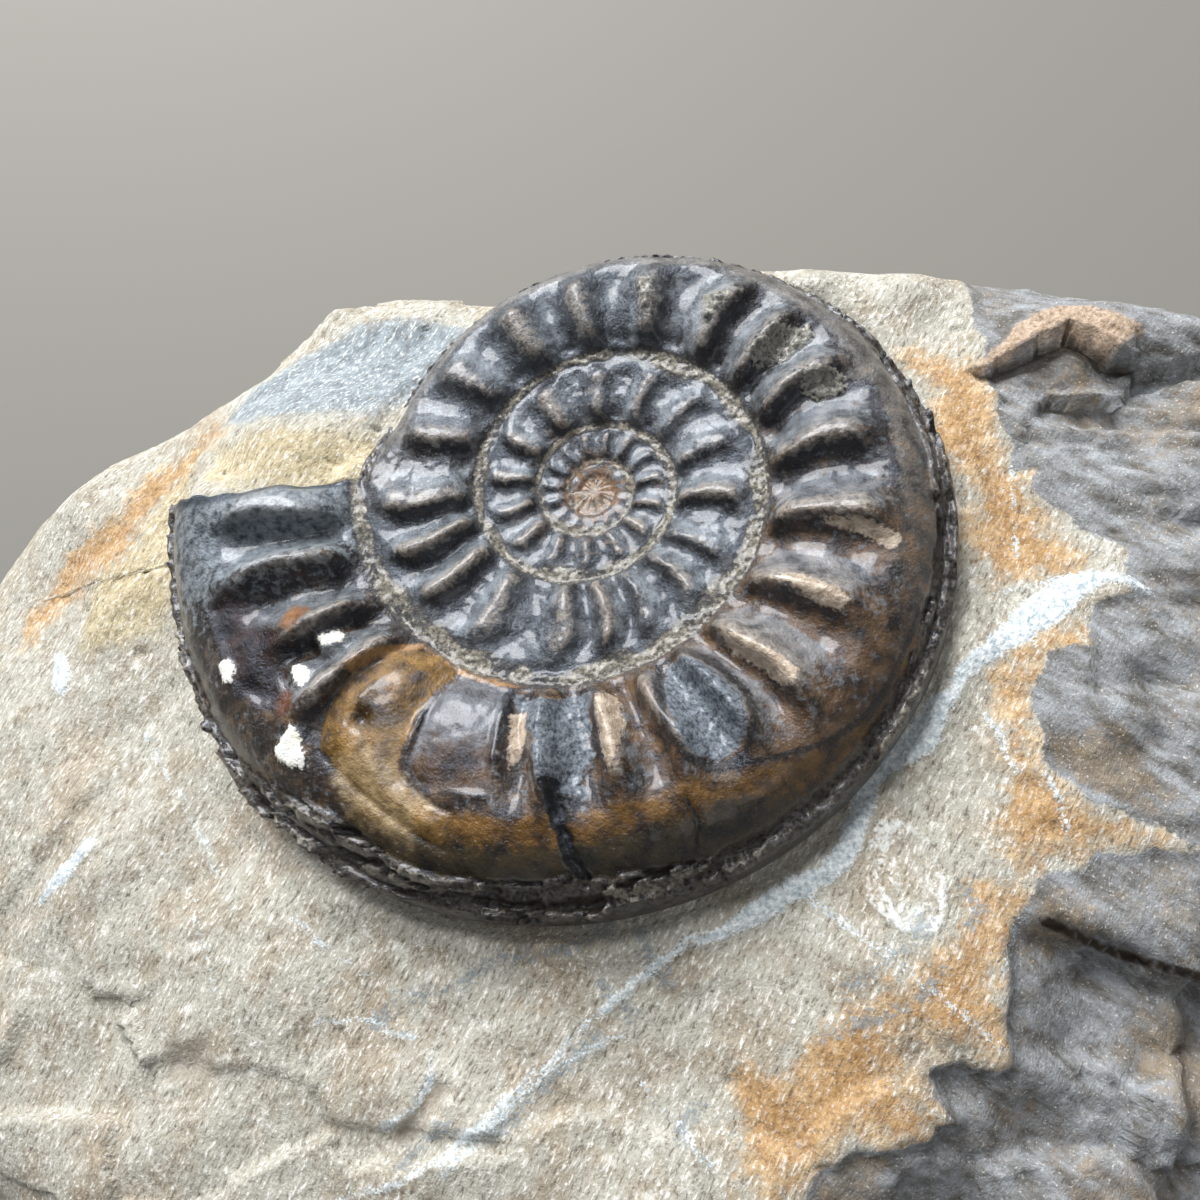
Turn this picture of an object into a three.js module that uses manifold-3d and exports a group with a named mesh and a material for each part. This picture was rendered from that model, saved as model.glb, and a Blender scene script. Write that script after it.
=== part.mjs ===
// A ribbed, keeled ammonite about 46 mm across, lying half bedded in the broken
// stone that it was found in. Millimetres, +Z up. The origin is the middle of
// the small flat spot that the stone rests on, and the shell's axis is vertical.
import * as THREE from "three";
import { mergeVertices } from "three/addons/utils/BufferGeometryUtils.js";
import Module from "manifold-3d";

// The shell
const seamRadius = 13.2; // from the axis to the umbilical seam, at the mouth
const growthPerTurn = 2.035; // how much larger everything is after one turn
const mouthAngle = 175; // where the mouth lies, in degrees round the axis from +X
const seamHeight = 0.2; // heights above the keel's plane, as shares of whorl width
const flankHeight = 0.42;
const ribHeight = 0.16;
const ribWidth = 0.24; // as a share of the way to the next rib
const ribLean = -5; // degrees that a rib swings back on its way out
const keelDrop = 0.7; // how far the keel's edge stands above the buried side, mm
const buriedDepth = 5.2; // how far the buried side reaches below the keel, mm
const buriedMiddle = 0.8; // how deep it is at the middle, as a share of that
// Rings of the buried side: how far each is drawn in, and at what share of the depth.
const lowRing = [0.7, 1];
const midRing = [0.93, 0.6];

// Rib crests, in degrees back from the mouth, counted on the two outer whorls.
const outerRibs = [
  6, 21, 33, 45, 57, 75, 87, 99, 108, 120, 132, 144, 165, 180, 198, 213, 228,
  249, 273, 294, 318, 339,
];
const secondRibs = [
  366, 381, 396, 417, 444, 459, 471, 489, 504, 528, 549, 576, 597, 627, 654,
  684, 711,
];
const innerRibStep = 24; // degrees, on the small whorls further in
const innermost = 900; // degrees back from the mouth, where the centre is capped
const angleStep = 3;
const acrossWhorl = [0, 0.12, 0.3, 0.55, 0.74, 0.89, 1];

// The stone
const shellAboveBase = 30; // the keel's plane above the flat spot
const baseCentre = [-5, -11]; // the flat spot's middle, from the shell's axis
const baseShare = 0.44; // the flat spot's size, as a share of the stone's outline
const widestDepth = 11; // the stone is widest this far below the keel
const pocketGap = 0.4;
const pocketEase = 1.015; // keeps the gap where the buried side curves in
const pocketTop = 12; // the hollow is cut up to this far above the keel
const outlinePoints = [
  [44, -10], [41.5, 4.5], [33.5, 11.5], [25, 14.5], [16, 16.5], [4, 18.5], [-8, 18.5],
  [-17, 20], [-22, 19.5], [-28, 13.5], [-37, 10], [-48, 4], [-55, -8], [-51, -28],
  [-41, -41], [-24, -45], [-4, -45], [16, -43.5], [33, -40], [41, -26],
];
// The stone's outline at each depth below the keel, as a share of the widest one.
const sideShares = [[11, 1], [14, 0.985], [18, 0.93], [22, 0.85], [26, 0.71], [28.6, 0.54]];
// The edge of the pale weathered skin: where it ends in x, going down along y.
const skinEdge = [
  [-22, 19], [-8, 21.5], [1, 21.3], [7, 24.1], [12, 20.8], [18, 24], [21, 18.6],
  [26, 17.6], [33, 8], [46, 2],
];
const skinThickness = 1.4;
// Ledges of the bared rock: a point on the lip, the way it drops, and how far.
const ledges = [
  [[21, -22.6], [-0.35, -0.94], 2.2],
  [[31, -4], [0.97, -0.25], 2],
  [[26, 2.5], [-0.25, -0.97], -1.6],
];
// Broken faces: the way each one faces, and how far it lies from the stone's middle.
const stoneMiddle = [-5, -11, -14];
const brokenFaces = [
  [[1, 0.15, -0.35], 43], [[0.85, -0.55, -0.2], 44], [[0.75, 0.6, 0.1], 40.5],
  [[0.2, 1, -0.4], 29], [[-0.5, 0.85, -0.25], 35], [[-0.9, 0.35, 0.25], 44],
  [[-0.9, -0.45, -0.15], 46.5], [[-0.55, -0.8, -0.45], 38], [[0.1, -1, -0.3], 31],
  [[0.5, -0.8, 0.35], 38], [[0.6, -0.2, -0.8], 30], [[-0.5, -0.35, -0.8], 30],
  [[-0.45, 0.4, -0.8], 25], [[0.3, 0.5, -0.8], 23.5], [[0.1, -0.6, -0.8], 27],
];

const radians = THREE.MathUtils.degToRad;
const smooth = THREE.MathUtils.smoothstep;
const bump = (distance, width) => Math.exp(-((distance / width) ** 2));

// A smooth value read off a list of [place, value] pairs.
function along(pairs, place) {
  let i = 0;
  while (i < pairs.length - 2 && pairs[i + 1][0] < place) i++;
  const [[from, start], [to, end]] = [pairs[i], pairs[i + 1]];
  return start + (end - start) * smooth(place, from, to);
}

// A closed solid from triangles that share their corners.
function solidFrom(wasm, points, faces) {
  const geometry = new THREE.BufferGeometry();
  geometry.setAttribute(
    "position",
    new THREE.Float32BufferAttribute(points.flat(), 3),
  );
  geometry.setIndex(faces.flat());
  const merged = mergeVertices(geometry, 1e-3);
  const corners = merged.index.array;
  const kept = [];
  for (let i = 0; i < corners.length; i += 3) {
    const [a, b, c] = corners.slice(i, i + 3);
    if (a !== b && b !== c && c !== a) kept.push(a, b, c);
  }
  return new wasm.Manifold(
    new wasm.Mesh({
      numProp: 3,
      vertProperties: merged.attributes.position.array,
      triVerts: new Uint32Array(kept),
    }),
  );
}

// Joins each ring of corner numbers to the next by two triangles a side.
function skin(rings) {
  const faces = [];
  for (let k = 0; k < rings.length - 1; k++) {
    const [inner, outer] = [rings[k], rings[k + 1]];
    inner.forEach((a, j) => {
      const next = (j + 1) % inner.length;
      faces.push([a, outer[j], outer[next]], [a, outer[next], inner[next]]);
    });
  }
  return faces;
}

// A mesh to show from a solid.
function meshOf(solid, name, material) {
  const { vertProperties, triVerts } = solid.getMesh();
  const geometry = new THREE.BufferGeometry();
  geometry.setAttribute(
    "position",
    new THREE.Float32BufferAttribute(vertProperties, 3),
  );
  geometry.setIndex(new THREE.BufferAttribute(triVerts, 1));
  geometry.computeVertexNormals();
  const mesh = new THREE.Mesh(geometry, material);
  mesh.name = name;
  return mesh;
}

const innerRibs = [];
for (let at = 735; at < innermost + 60; at += innerRibStep) innerRibs.push(at);
const allRibs = [...outerRibs, ...secondRibs, ...innerRibs];

// 1 on a rib's crest, falling to 0 in the hollow between two ribs.
function ribAt(back) {
  let i = 0;
  while (i < allRibs.length - 2 && allRibs[i + 1] < back) i++;
  const [near, far] = [allRibs[i], allRibs[i + 1]];
  const place = (back - near) / (far - near);
  return bump(place, ribWidth) + bump(1 - place, ribWidth);
}

// The last whorl comes down to its keel; an inner one meets the next whorl's seam.
const lastSection = [
  [0, seamHeight], [0.12, 0.34], [0.4, flankHeight], [0.58, 0.39],
  [0.76, 0.31], [0.9, 0.14], [1, 0],
];
const innerSection = [
  [0, seamHeight], [0.12, 0.34], [0.4, flankHeight], [0.8, 0.42],
  [1, seamHeight * growthPerTurn],
];

// A point of the shell's upper side: degrees back from the mouth, and the share
// of the way across the whorl, from its inner seam to its outer edge.
function shellPoint(back, across) {
  const inner = seamRadius * growthPerTurn ** (-back / 360);
  const width = inner * (growthPerTurn - 1);
  const drawnIn = back < 360 ? 0.9 * bump(back - 250, 70) - 0.5 * bump(back - 45, 30) : 0;
  const emerging = smooth(360 - back, 0, 25);
  const section =
    along(lastSection, across) * emerging +
    along(innerSection, across) * (1 - emerging);
  const ribEnd = emerging * 0.62 + (1 - emerging) * 0.9;
  const ribbed = smooth(across, 0.02, 0.14) * (1 - smooth(across, ribEnd - 0.16, ribEnd));
  const height = section + ribHeight * ribbed * (ribAt(back) - 0.4);
  const angle = radians(mouthAngle + back + -ribLean * Math.sin(Math.PI * across));
  const radius = inner + (width - drawnIn) * across;
  return [radius * Math.cos(angle), radius * Math.sin(angle), height * width];
}

// The shell's outer edge seen from above: the keel, then the broken mouth.
function shellEdge(step) {
  const edge = [];
  for (let back = 360; back > 0; back -= step) edge.push(shellPoint(back, 1));
  [...acrossWhorl].reverse().forEach((across) => edge.push(mouthPoint(across)));
  edge.pop(); // the mouth's inner corner is the keel's first point
  return edge;
}

// The mouth is broken off straight, so its points don't follow the ribs' lean.
function mouthPoint(across) {
  const [x, y, z] = shellPoint(0, across);
  const radius = Math.hypot(x, y);
  const angle = radians(mouthAngle);
  return [radius * Math.cos(angle), radius * Math.sin(angle), z];
}

function shellSolid(wasm) {
  const points = [];
  const faces = [];
  const add = (point) => points.push(point) - 1;
  const row = (back) =>
    acrossWhorl.map((across) =>
      add(back === 0 ? mouthPoint(across) : shellPoint(back, across)),
    );
  // The upper side: one ribbed strip, wound from the mouth to the centre.
  const rows = [];
  for (let back = 0; back <= innermost; back += angleStep) rows.push(row(back));
  for (let i = 0; i < rows.length - 1; i++)
    for (let j = 0; j < acrossWhorl.length - 1; j++) {
      const [a, b] = [rows[i][j], rows[i][j + 1]];
      const [c, d] = [rows[i + 1][j], rows[i + 1][j + 1]];
      faces.push([a, b, d], [a, d, c]);
    }
  // The smallest whorls are a low cap on the strip's inner end.
  const capEdge = [];
  for (let back = innermost - 360; back <= innermost; back += angleStep)
    capEdge.push(add(shellPoint(back, 0)));
  acrossWhorl.slice(1).forEach((across) => capEdge.push(add(shellPoint(innermost, across))));
  const centre = add([0, 0, seamHeight * seamRadius * growthPerTurn ** (-innermost / 360)]);
  capEdge.forEach((a, j) => faces.push([centre, a, capEdge[(j + 1) % capEdge.length]]));
  // The buried side: the edge drawn in below, and closed at the middle.
  const edge = shellEdge(angleStep);
  const ringOf = (share, depth) => edge.map(([x, y]) => add([x * share, y * share, -depth]));
  const rings = [
    ringOf(lowRing[0], buriedDepth * lowRing[1]),
    ringOf(midRing[0], buriedDepth * midRing[1]),
    ringOf(1, keelDrop),
    edge.map((point) => add(point)),
  ];
  const under = add([0, 0, -buriedDepth * buriedMiddle]);
  const lower = skin(rings);
  rings[0].forEach((a, j) => lower.push([under, a, rings[0][(j + 1) % rings[0].length]]));
  return solidFrom(wasm, points, [...faces, ...lower]);
}

// The hollow that the shell lies in: its outline, a little larger, open upwards.
function pocketSolid(wasm) {
  const points = [];
  const add = (point) => points.push(point) - 1;
  const edge = shellEdge(angleStep * 3);
  const ringOf = (share, height) =>
    edge.map(([x, y]) => {
      const wider = 1 + pocketGap / Math.hypot(x, y);
      return add([x * share * wider, y * share * wider, height]);
    });
  const rings = [
    ringOf(lowRing[0], -buriedDepth * lowRing[1] - pocketGap),
    ringOf(midRing[0] * pocketEase, -buriedDepth * midRing[1] - pocketGap),
    ringOf(pocketEase, -keelDrop - pocketGap),
    ringOf(pocketEase, pocketTop),
  ];
  const faces = skin(rings);
  const under = add([0, 0, -buriedDepth * buriedMiddle - pocketGap]);
  const over = add([0, 0, pocketTop]);
  const count = edge.length;
  for (let j = 0; j < count; j++) {
    faces.push([under, rings[0][j], rings[0][(j + 1) % count]]);
    faces.push([over, rings[3][(j + 1) % count], rings[3][j]]);
  }
  return solidFrom(wasm, points, faces);
}

// The points of the outline, evenly spaced along its straight broken sides.
function outlineRing(sides) {
  const path = new THREE.Shape(outlinePoints.map(([x, y]) => new THREE.Vector2(x, y)));
  path.closePath();
  return path.getSpacedPoints(sides).slice(0, sides).reverse();
}

// Slow swells and sharp-backed ridges, the same at every size of broken rock.
function swell(x, y, z) {
  return (
    Math.sin(x * 0.19 + y * 0.11 + 1.3) * Math.cos(y * 0.23 - z * 0.17) +
    0.6 * Math.sin(x * 0.41 - y * 0.33 + z * 0.29 + 0.4)
  );
}

function hackle(x, y, z) {
  const [a, b] = [x * 0.16 + y * 0.07 - z * 0.12, y * 0.19 - x * 0.08 + z * 0.23];
  return 1 - Math.abs(Math.sin(a + 0.7 * Math.sin(b))) - Math.abs(Math.cos(b * 1.7 + a));
}

// The stone's upper face round the shell, above or below the keel's plane.
function stoneTop(x, y) {
  const dome = -0.4 - 0.0012 * (0.6 * (x + 3) ** 2 + (y + 10) ** 2);
  const bank = 4.4 * bump(x + 20, 11) * bump(y - 6.5, 3.6);
  const edge = along(skinEdge, -y);
  const bared = smooth(x, edge, edge + 1.6);
  let rock = -skinThickness - 0.6 * hackle(x * 2, y * 2, 0);
  for (const [[lipX, lipY], [dirX, dirY], drop] of ledges)
    rock -= drop * smooth((x - lipX) * dirX + (y - lipY) * dirY, 0, 2.4);
  const block = 2.2 * smooth(x, 20, 22.5) * smooth(y, 5.2, 7.5);
  const leftCrack = 0.9 * bump((x + 33) * 0.75 - (y + 18) * 0.66, 1.3) * smooth(-x, 25, 30);
  return dome + bank + bared * rock + block - leftCrack + 0.35 * swell(x, y, 0);
}

// Moves a point in to each broken face that it would stand out of.
function chip(point) {
  const middle = new THREE.Vector3(...stoneMiddle);
  for (const [direction, reach] of brokenFaces) {
    const facing = new THREE.Vector3(...direction).normalize();
    const beyond = point.clone().sub(middle).dot(facing) - reach;
    if (beyond > 0) point.addScaledVector(facing, -beyond);
  }
  return point;
}

// The stone in rings: in from the flat spot, up the side, and inward over the top.
function stoneSolid(wasm) {
  const sides = 92;
  const topShares = [
    0.995, 0.98, 0.955, 0.92, 0.885, 0.845, 0.8, 0.755, 0.71, 0.66, 0.605, 0.545,
    0.48, 0.41, 0.33,
  ];
  const points = [];
  const add = (point) => points.push(point) - 1;
  const around = outlineRing(sides);
  const topRing = (share) =>
    around.map(({ x, y }) => {
      const rounding = 1 - (1 - share ** 9) ** 0.5;
      const [px, py] = [x * share, y * share];
      const z = stoneTop(px, py) * (1 - rounding) - widestDepth * rounding;
      return add(chip(new THREE.Vector3(px, py, z)).toArray());
    });
  const sideRing = ([depth, share]) =>
    around.map(({ x, y }) => {
      const [cx, cy] = baseCentre;
      const out = share + 0.02 * hackle(x, y, depth) * smooth(depth, 11, 16);
      const point = chip(new THREE.Vector3(cx + (x - cx) * out, cy + (y - cy) * out, -depth));
      point.z = Math.max(point.z, 0.6 - shellAboveBase);
      return add(point.toArray());
    });
  const flatRing = around.map(({ x, y }) => {
    const [cx, cy] = baseCentre;
    return add([cx + (x - cx) * baseShare, cy + (y - cy) * baseShare, -shellAboveBase]);
  });
  const rings = [flatRing, ...sideShares.map(sideRing).reverse(), ...topShares.map(topRing)];
  const faces = skin(rings);
  const bottom = add([...baseCentre, -shellAboveBase]);
  const top = add([0, 0, stoneTop(0, 0)]);
  const last = rings[rings.length - 1];
  for (let j = 0; j < sides; j++) {
    const next = (j + 1) % sides;
    faces.push([bottom, flatRing[j], flatRing[next]]);
    faces.push([top, last[next], last[j]]);
  }
  return solidFrom(wasm, points, faces);
}

// The finished piece
const wasm = await Module();
wasm.setup();

const shellStone = new THREE.MeshStandardMaterial({
  color: 0x463a31,
  roughness: 0.35,
  metalness: 0,
});
const weatheredStone = new THREE.MeshStandardMaterial({
  color: 0xb3a086,
  roughness: 0.9,
  metalness: 0,
});

const specimen = new THREE.Group();
specimen.add(
  meshOf(shellSolid(wasm), "ammonite", shellStone),
  meshOf(stoneSolid(wasm).subtract(pocketSolid(wasm)), "matrix_stone", weatheredStone),
);
specimen.position.set(-baseCentre[0], -baseCentre[1], shellAboveBase);

export default specimen;
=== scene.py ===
import math
import bpy
import numpy as np
from mathutils import Matrix, Vector, noise


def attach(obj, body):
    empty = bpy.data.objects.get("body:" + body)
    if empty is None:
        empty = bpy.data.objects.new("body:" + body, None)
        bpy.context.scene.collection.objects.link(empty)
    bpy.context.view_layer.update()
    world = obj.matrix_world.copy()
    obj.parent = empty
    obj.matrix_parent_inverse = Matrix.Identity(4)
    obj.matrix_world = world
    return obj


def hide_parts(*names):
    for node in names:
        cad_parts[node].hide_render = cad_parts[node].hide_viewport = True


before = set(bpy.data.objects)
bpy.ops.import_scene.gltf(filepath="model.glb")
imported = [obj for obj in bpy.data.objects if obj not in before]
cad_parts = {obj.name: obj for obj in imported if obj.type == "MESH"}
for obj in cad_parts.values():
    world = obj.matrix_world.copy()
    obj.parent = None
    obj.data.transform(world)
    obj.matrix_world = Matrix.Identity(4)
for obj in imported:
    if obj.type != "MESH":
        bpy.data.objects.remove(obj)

# A ribbed ammonite, glossy and dark, half bedded in a loose piece of weathered stone.
# Places are in mm from where the shell's axis meets the plane of its keel, +Z up.
mm = 0.001
axisPlace = np.array([5.0, 11.0, 30.0])  # that point, from the flat spot the stone rests on
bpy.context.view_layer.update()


# small helpers

def linear(hexColour):  # sRGB hex to the linear colour a shader works in
    parts = [int(hexColour[i:i + 2], 16) / 255 for i in (1, 3, 5)]
    return [p / 12.92 if p <= 0.04045 else ((p + 0.055) / 1.055) ** 2.4 for p in parts] + [1.0]


def switchTo(mode):
    bpy.ops.object.mode_set(mode=mode)


def deselectAll():
    if bpy.context.object and bpy.context.object.mode == "EDIT":
        switchTo("OBJECT")
    bpy.ops.object.select_all(action="DESELECT")


def makeActive(piece):
    deselectAll()
    piece.select_set(True)
    bpy.context.view_layer.objects.active = piece


def mergeDoubles(apart):  # of the active piece, up to that many mm apart
    switchTo("EDIT")
    bpy.ops.mesh.select_mode(type="VERT")
    bpy.ops.mesh.select_all(action="SELECT")
    bpy.ops.mesh.remove_doubles(threshold=apart * mm)
    switchTo("OBJECT")


def turnOutwards():
    switchTo("EDIT")
    bpy.ops.mesh.select_all(action="SELECT")
    bpy.ops.mesh.normals_make_consistent(inside=False)
    switchTo("OBJECT")
    bpy.ops.object.shade_smooth()


def placesOf(piece):
    found = np.empty(len(piece.data.vertices) * 3)
    piece.data.vertices.foreach_get("co", found)
    return found.reshape(-1, 3)


def placeVertices(piece, points):  # points in mm from the shell's axis
    piece.data.vertices.foreach_set("co", ((points + axisPlace) * mm).ravel())
    piece.data.update()


def storeMask(piece, name, values):
    layer = piece.data.attributes.new(name, "FLOAT", "POINT")
    layer.data.foreach_set("value", np.asarray(values, dtype=np.float32))


def smooth(value, low, high):  # 0 below low, 1 above high, eased between
    share = np.clip((value - low) / (high - low), 0, 1)
    return share * share * (3 - 2 * share)


def bump(distance, width):
    return np.exp(-((distance / width) ** 2))


def curveThrough(pairs, at):  # a smooth curve through a list of [place, value]
    places, values = np.array(pairs, float).T
    slopes = np.gradient(values, places)
    i = np.clip(np.searchsorted(places, at) - 1, 0, len(places) - 2)
    span = places[i + 1] - places[i]
    s = np.clip((at - places[i]) / span, 0, 1)
    start = values[i] * (1 + 2 * s) * (1 - s) ** 2 + slopes[i] * span * s * (1 - s) ** 2
    end = values[i + 1] * s * s * (3 - 2 * s) + slopes[i + 1] * span * s * s * (s - 1)
    return start + end


def flatPoints(x, y):
    return np.column_stack([x, y, np.zeros(len(x))])


def noiseAt(points, grain, seed):  # lumps of about that many mm, from -1 to 1
    return np.array([noise.noise(p) for p in (points / grain + seed).tolist()])


def fractalAt(points, grain, octaves, seed):
    scaled = (points / grain + seed).tolist()
    return np.array([noise.fractal(p, 0.9, 2.1, octaves) for p in scaled])


def platesAt(points, grain, seed):  # broken plates, each at its own height
    scaled = (points / grain + seed).tolist()
    return np.array([noise.cell(noise.voronoi(p)[1][0] * 7.3) for p in scaled]) - 0.5


def fromSegment(x, y, ax, ay, bx, by):  # mm from it, and how far along it
    share = ((x - ax) * (bx - ax) + (y - ay) * (by - ay)) / ((bx - ax) ** 2 + (by - ay) ** 2)
    share = np.clip(share, 0, 1)
    return np.hypot(x - ax - share * (bx - ax), y - ay - share * (by - ay)), share


def segmentDistances(x, y, points, closed):
    nearest = np.full(len(x), 1e9)
    odd = np.zeros(len(x), bool)
    ends = points[1:] + points[:1] if closed else points[1:]
    for (ax, ay), (bx, by) in zip(points, ends):
        nearest = np.minimum(nearest, fromSegment(x, y, ax, ay, bx, by)[0])
        if closed and ay != by:
            odd ^= ((ay > y) != (by > y)) & (x < (bx - ax) * (y - ay) / (by - ay) + ax)
    return nearest, odd


def insideOutline(x, y, outline):  # mm inside it, negative outside
    nearest, odd = segmentDistances(x, y, outline, True)
    return np.where(odd, nearest, -nearest)


def insideAny(x, y, outlines):
    return np.max([insideOutline(x, y, outline) for outline in outlines], axis=0)


def fromLine(x, y, line):  # mm from an open line
    return segmentDistances(x, y, line, False)[0]


def fromAny(x, y, lines):
    return np.min([fromLine(x, y, line) for line in lines], axis=0)


def addNode(tree, kind, inputs=None, **settings):
    node = tree.nodes.new("ShaderNode" + kind)
    for name, value in settings.items():
        setattr(node, name, value)
    for name, value in (inputs or {}).items():
        socket = node.inputs[name]
        if isinstance(value, bpy.types.NodeSocket):
            tree.links.new(value, socket)
        else:
            socket.default_value = value
    return node


# the shell: one strip for each turn, wound from the mouth to the centre

shell = {
    "seamRadius": 13.2,  # from the axis to the umbilical seam, at the mouth
    "growthPerTurn": 2.035,
    "widthAtMouth": 13.7,
    "mouthAngle": 175.0,  # degrees round the axis from +X
    "seamHeight": 0.2,  # heights are shares of the whorl's width
    "ribHeight": 0.135,
    "ribWidth": 0.26,  # of the way to the next rib
    "ribLean": 5.0,  # degrees that a rib swings back on its way out
    "keelFrom": 0.885,  # of the way across, where the keel's flakes begin
    "openFrom": 5,  # mm from the axis beyond which an open edge is the outer one
    "turns": 4,
    "steps": 720,  # round the last turn; each turn further in has half as many
    "rows": 80,
    "lastSection": [
        [0, 0.2], [0.04, 0.245], [0.12, 0.325], [0.25, 0.38], [0.4, 0.398], [0.58, 0.385],
        [0.68, 0.355], [0.78, 0.295], [0.87, 0.195], [0.915, 0.135], [0.955, 0.135],
        [0.985, 0.08], [1, 0],
    ],
    "innerSection": [
        [0, 0.2], [0.05, 0.27], [0.12, 0.345], [0.3, 0.42], [0.5, 0.44], [0.72, 0.445],
        [0.87, 0.43], [1, 0.407],
    ],
    # rib crests, in degrees back from the mouth
    "ribs": [
        11, 22, 35, 46, 57, 74, 86, 98, 109, 120, 130, 146, 163, 181, 198, 213, 228, 250,
        272, 293, 317, 340, 366, 381, 397, 417, 444, 459, 472, 489, 505, 527, 550, 575,
        598, 626, 655, 685, 711,
    ],
    "innerRibStep": 24,
    "broadRibs": {57: 0.4, 74: 0.4},
    "ribSkew": 0.32,  # how much steeper a rib is on its sheltered side
    "skirt": [(1.0, -0.9), (0.97, -2.4), (0.8, -4.2)],  # the buried side: share, height
}

# places on the flank, seen from above
flank = {
    "amber": [
        (-12.7, -14.3), (-12.7, -13.1), (-12.2, -11.7), (-11.2, -10.5), (-9.7, -9.3), (-8.7, -8.9),
        (-7.4, -9.4), (-6.3, -10.4), (-7, -11.4), (-7.7, -12.8), (-8.2, -14.3), (-8.3, -15.6),
        (-7.1, -16.8), (-5.6, -17.4), (-6.2, -19), (-7.4, -18.4), (-9.6, -17), (-11.3, -15.7)],
    "chamber": [
        (-6.5, -11.1), (-5.9, -10.7), (-3.6, -11.5), (-3.7, -13), (-3.9, -14.9), (-3.7, -16.6),
        (-5.5, -16.5), (-7.4, -16), (-7.9, -15.2), (-7.6, -13.8), (-7.2, -12.4)],
    "slatePatch": [
        (4.1, -10.7), (4.9, -10.3), (6.5, -11.1), (7.7, -12.4), (8, -13.6), (7.6, -14.7),
        (6.6, -15.3), (5.4, -14.9), (4.8, -13.9), (4.3, -12.2)],
    "slateBand": [
        (-3.3, -11.7), (-0.9, -12), (0.6, -11.9), (0.8, -13.9), (0.5, -16.9), (-0.9, -16.6),
        (-1.7, -14.6), (-2.9, -13.4)],
    "slateCrack": [(-0.9, -16.2), (-0.5, -18.2), (0.2, -20.3)],
    "fineCrack": [(5.1, -16.9), (5.6, -17.9), (5.2, -19.1)],
    "paleRibs": [
        [(-3.3, -12.8), (-2.5, -12.6), (-2.2, -13.8), (-2.8, -15.1), (-3.1, -15.6)],
        [(1, -12), (1.8, -11.9), (2.4, -13.4), (2.3, -14.8), (1.8, -15.7), (1.4, -14.9), (1.1, -13.3)],
        [(6.7, -9.3), (7.8, -9.7), (9.3, -10.6), (10.4, -11.5), (10.2, -12.1), (9.6, -12.2),
         (8.7, -11.3), (7.4, -10.4)],
        [(9.1, -6.9), (10.7, -7), (12.2, -7.8), (12.8, -8.4), (12.3, -8.9), (11.4, -8.5),
         (10.3, -7.6)],
        [(11.7, -4.1), (13.7, -4.5), (15.2, -5.2), (15.3, -5.7), (14.7, -5.9), (13.6, -5.1),
         (12.1, -4.5)],
    ],
    "chalkSpots": [
        [(-19.2, -9.7), (-18.5, -9.3), (-17.7, -9.8), (-18, -10.8), (-18.7, -10.9)],
        [(-14.9, -10.1), (-14.3, -9.8), (-13.4, -10.2), (-13.3, -11), (-13.8, -11.4), (-14.4, -11)],
        [(-15.3, -14.1), (-14.3, -12.9), (-13.7, -13.2), (-13.3, -14.4), (-13.4, -15.3),
         (-14.3, -15.2), (-15.2, -14.8)],
        [(-13.6, -8.5), (-12.4, -8.1), (-11.8, -8.4), (-12, -9), (-13.1, -9.3)],
        [(-10.4, -19.6), (-8.5, -19.9), (-8.2, -20.6), (-9.5, -20.6)],
        [(-2.9, -21.2), (-0.9, -21), (-0.9, -21.8), (-2.6, -21.9)],
        [(5.2, -20.3), (6.3, -19.9), (6.2, -20.5), (5.4, -20.8)],
    ],
    "paleBase": [(-11.9, -14.9), (-9.4, -14.2), (-8.5, -15.8), (-6.9, -17.1), (-8, -18.6), (-10.9, -17.2)],
    "wine": [
        (-20.4, -6.5), (-18.7, -5.3), (-17.6, -6.2), (-16.5, -7.6), (-14.2, -8), (-15.2, -9.3),
        (-15.3, -10.6), (-14.2, -12.4), (-16.5, -12.3), (-18, -11.2), (-19.3, -9)],
    "redGlow": [
        (-15.6, -12), (-15.1, -10.7), (-14.3, -11.3), (-13.8, -12.1), (-14.4, -12.8), (-15.1, -12.8)],
    "amberSpot": [(-15.5, -6.7), (-14.4, -6.7), (-13.6, -7.1), (-13.9, -7.9), (-14.4, -8.6), (-15.3, -8.1)],
    "orangeRim": [
        (-11.2, -10.3), (-9.4, -9.1), (-8.3, -8.9), (-7.4, -9.4), (-6.1, -10.4), (-4.6, -10.9),
        (-3.3, -11.4), (-1.8, -11.7), (-1.1, -12)],
    "pit": (-10.5, -12.9),
    "roughTops": [
        [(8.9, 5.6), (10.3, 6.8), (12.1, 6.8), (12.3, 6), (10.7, 4.9), (9.1, 4.9)],
        [(11.5, 3.9), (12.8, 3.9), (13.6, 3.4), (13.4, 2.6), (12.2, 2.3), (11.4, 2.9)],
        [(6.7, 9.5), (8.2, 9.4), (8, 8.7), (6.9, 7.5), (6.4, 8.2)],
        [(3.1, 11.1), (4.1, 10.9), (3.9, 9.2), (3.3, 9)],
    ],
}


def ribCrests():
    last = shell["ribs"][-1]
    further = range(last + shell["innerRibStep"], 360 * shell["turns"] + 60, shell["innerRibStep"])
    return np.array([-10.0] + shell["ribs"] + list(further))


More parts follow.
